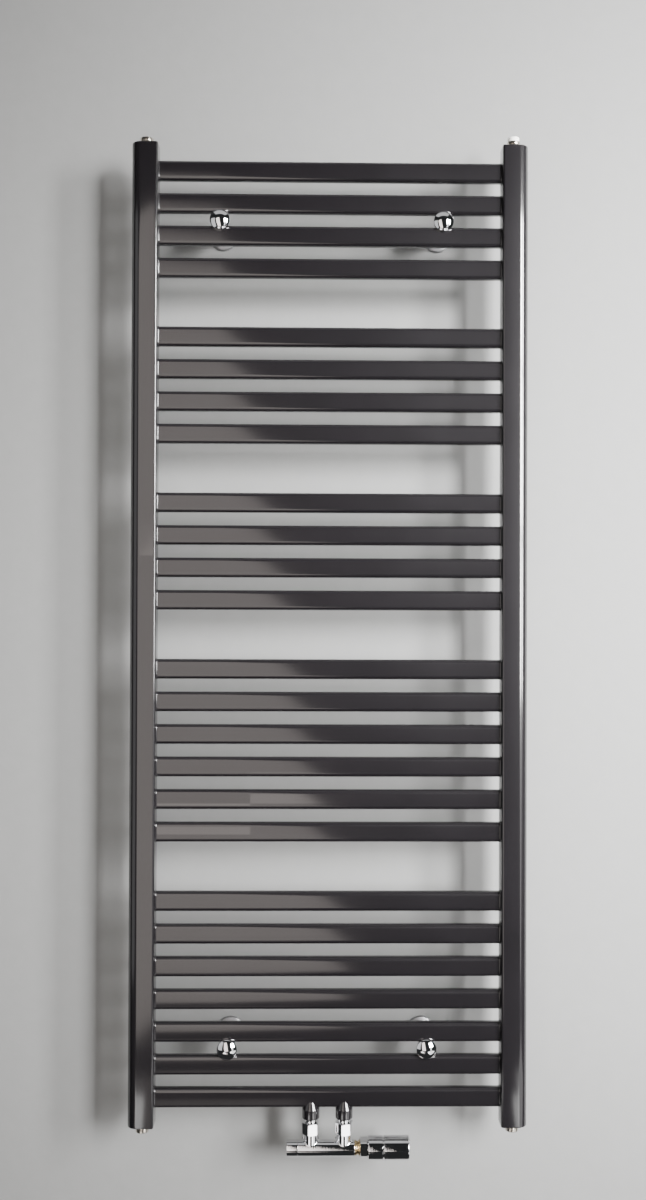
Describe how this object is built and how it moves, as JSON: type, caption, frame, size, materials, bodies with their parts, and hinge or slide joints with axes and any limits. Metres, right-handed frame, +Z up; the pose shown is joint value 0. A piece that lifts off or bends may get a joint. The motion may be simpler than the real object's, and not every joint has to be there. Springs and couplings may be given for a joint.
{
  "type": "towel radiator with thermostatic valve",
  "caption": "Wall-hung ladder towel radiator in dark paint, with grouped flat bars, round chrome brackets and a centre-connected thermostatic valve below.",
  "frame": {"origin": "on the wall's finished surface, at the middle of the radiator's width and of its collectors' height", "axes": "+Z up along the collectors, +Y into the wall, +X to the right of a person who faces the radiator"},
  "size_m": [0.6, 0.0928, 1.5451],
  "materials": {
    "paint": "semi-gloss anthracite powder coat on steel tube",
    "chrome": "polished chrome plate on brass",
    "nickel": "bright nickel plate on brass",
    "brass": "machined brass",
    "steel": "zinc-plated steel",
    "white_plastic": "moulded white plastic",
    "dark_plastic": "moulded dark plastic"
  },
  "bodies": {
    "radiator": {"collector_left": "paint", "collector_right": "paint", "bar_01": "paint", "bar_02": "paint", "bar_03": "paint", "bar_04": "paint", "bar_05": "paint", "bar_06": "paint", "bar_07": "paint", "bar_08": "paint", "bar_09": "paint", "bar_10": "paint", "bar_11": "paint", "bar_12": "paint", "bar_13": "paint", "bar_14": "paint", "bar_15": "paint", "bar_16": "paint", "bar_17": "paint", "bar_18": "paint", "bar_19": "paint", "bar_20": "paint", "bar_21": "paint", "bar_22": "paint", "bar_23": "paint", "bar_24": "paint", "bar_25": "paint", "socket_left": "paint", "socket_right": "paint", "plug_top_left": "nickel", "plug_bottom_left": "nickel", "plug_bottom_right": "nickel", "vent_body": "nickel", "bracket_top_left_cap": "chrome", "bracket_top_left_clamp": "chrome", "bracket_top_left_foot": "steel", "bracket_top_right_cap": "chrome", "bracket_top_right_clamp": "chrome", "bracket_top_right_foot": "steel", "bracket_bottom_left_cap": "chrome", "bracket_bottom_left_clamp": "chrome", "bracket_bottom_left_foot": "steel", "bracket_bottom_right_cap": "chrome", "bracket_bottom_right_clamp": "chrome", "bracket_bottom_right_foot": "steel", "tailpiece_left": "chrome", "tailpiece_right": "chrome", "union_nut_left": "chrome", "union_nut_right": "chrome", "valve_body": "chrome", "thermostat_insert": "brass", "head_nut": "chrome", "head_base": "chrome"},
    "handle": {"head_handle": "chrome"},
    "sensor": {"sensor_capsule": "dark_plastic"},
    "pin": {"valve_pin": "steel"},
    "spindle": {"lockshield_spindle": "brass"},
    "cap": {"lockshield_cap": "chrome"},
    "nozzle": {"vent_nozzle": "white_plastic"},
    "screw": {"vent_screw": "brass"}
  },
  "joints": [
    {"name": "handle_turn", "type": "hinge", "parent": "radiator", "child": "handle", "pos_m": [0.1044, -0.075, -0.7742], "axis": [1, 0, 0], "range_deg": [-150, 150]},
    {"name": "sensor_travel", "type": "slide", "parent": "radiator", "child": "sensor", "axis": [1, 0, 0], "range_m": [-0.002, 0.002]},
    {"name": "pin_travel", "type": "slide", "parent": "radiator", "child": "pin", "axis": [1, 0, 0], "range_m": [-0.002, 0.002]},
    {"name": "spindle_turn", "type": "hinge", "parent": "radiator", "child": "spindle", "pos_m": [-0.0447, -0.075, -0.7742], "axis": [-1, 0, 0], "range_deg": [-360, 360]},
    {"name": "cap_pull", "type": "slide", "parent": "radiator", "child": "cap", "axis": [-1, 0, 0], "range_m": [0, 0.03]},
    {"name": "nozzle_swivel", "type": "hinge", "parent": "radiator", "child": "nozzle", "pos_m": [0.278, -0.075, 0.75], "axis": [0, 0, 1], "continuous": true},
    {"name": "vent_screw_turn", "type": "hinge", "parent": "radiator", "child": "screw", "pos_m": [0.278, -0.075, 0.75], "axis": [0, 0, 1], "range_deg": [0, 540]}
  ],
  "couplings": [
    {"joint": "sensor_travel", "follows": "handle_turn", "m_per_rad": 0.00076},
    {"joint": "pin_travel", "follows": "handle_turn", "m_per_rad": 0.00076}
  ]
}
